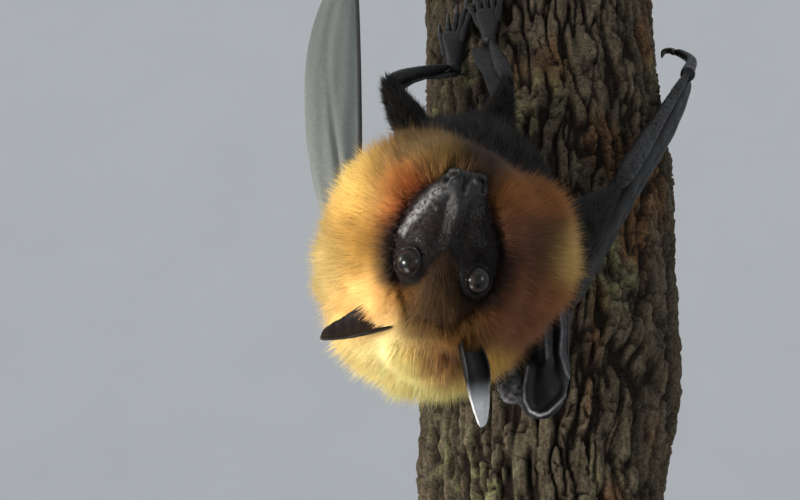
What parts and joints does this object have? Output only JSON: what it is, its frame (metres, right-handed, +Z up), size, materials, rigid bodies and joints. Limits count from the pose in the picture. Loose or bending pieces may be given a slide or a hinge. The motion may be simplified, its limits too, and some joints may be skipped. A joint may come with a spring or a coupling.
{
  "type": "fruit bat display model",
  "caption": "Life-size fruit bat hanging head down against a cut length of tree trunk, on a rod-and-base display stand.",
  "frame": {"origin": "centre of the underside of the stand's base", "axes": "+Z up, the bat faces -Y with its head down, +X is the bat's right"},
  "size_m": [0.25, 0.345, 0.725],
  "materials": {
    "coat": "soft golden and orange fur, brown on the crown and blackish brown on the belly",
    "bare_skin": "near-black naked skin, faintly wrinkled, soft shine",
    "membrane": "thin dark grey wing skin with fine creases and a satin shine",
    "eye": "glossy dark brown eye with a wide black pupil",
    "claw": "dark polished horn",
    "bark": "rough grey-brown bark in long ridges with dark furrows",
    "stand_wood": "dark stained and waxed hardwood",
    "stand_steel": "brushed"
  },
  "bodies": {
    "root": {"head": "coat", "jaw": "bare_skin", "eye_left": "eye", "eye_right": "eye", "ear_left": "bare_skin", "ear_right": "bare_skin", "neck_ruff": "coat", "chest": "coat", "belly": "coat", "upper_arm_left": "coat", "upper_arm_right": "coat", "forearm_left": "bare_skin", "forearm_right": "bare_skin", "thumb_left": "bare_skin", "thumb_right": "bare_skin", "thumb_claw_left": "claw", "thumb_claw_right": "claw", "wing_blade_left": "membrane", "wing_fingers_right": "membrane", "wing_tip_right": "membrane", "arm_membrane_left": "membrane", "arm_membrane_right": "membrane", "thigh_left": "coat", "thigh_right": "coat", "shin_left": "bare_skin", "shin_right": "bare_skin", "foot_left": "bare_skin", "foot_right": "bare_skin", "tail_membrane_left": "membrane", "tail_membrane_right": "membrane", "perch_log": "bark", "stand_base": "stand_wood", "stand_rod_left": "stand_steel", "stand_rod_right": "stand_steel"}
  },
  "joints": []
}
